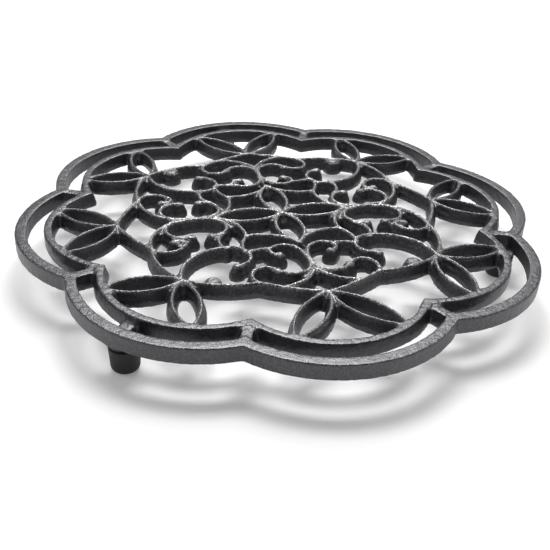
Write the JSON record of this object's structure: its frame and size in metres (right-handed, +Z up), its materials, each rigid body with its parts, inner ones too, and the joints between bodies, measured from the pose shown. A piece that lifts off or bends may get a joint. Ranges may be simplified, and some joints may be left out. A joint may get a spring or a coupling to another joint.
{
  "type": "trivet",
  "caption": "Round openwork cast-iron trivet with a scalloped double rim, a rosette of leaves and scrolls, and short legs with rubber caps.",
  "frame": {"origin": "middle of the trivet on the surface it stands on", "axes": "+Z up, +X to the right and -Y to the front of the pictured trivet"},
  "size_m": [0.2, 0.2, 0.0175],
  "materials": {
    "iron": "sand-cast, seasoned, pebbled satin",
    "rubber": "moulded, smooth"
  },
  "bodies": {
    "root": {"casting": "iron", "cap_front": "rubber", "cap_right": "rubber", "cap_rear": "rubber"}
  },
  "joints": []
}
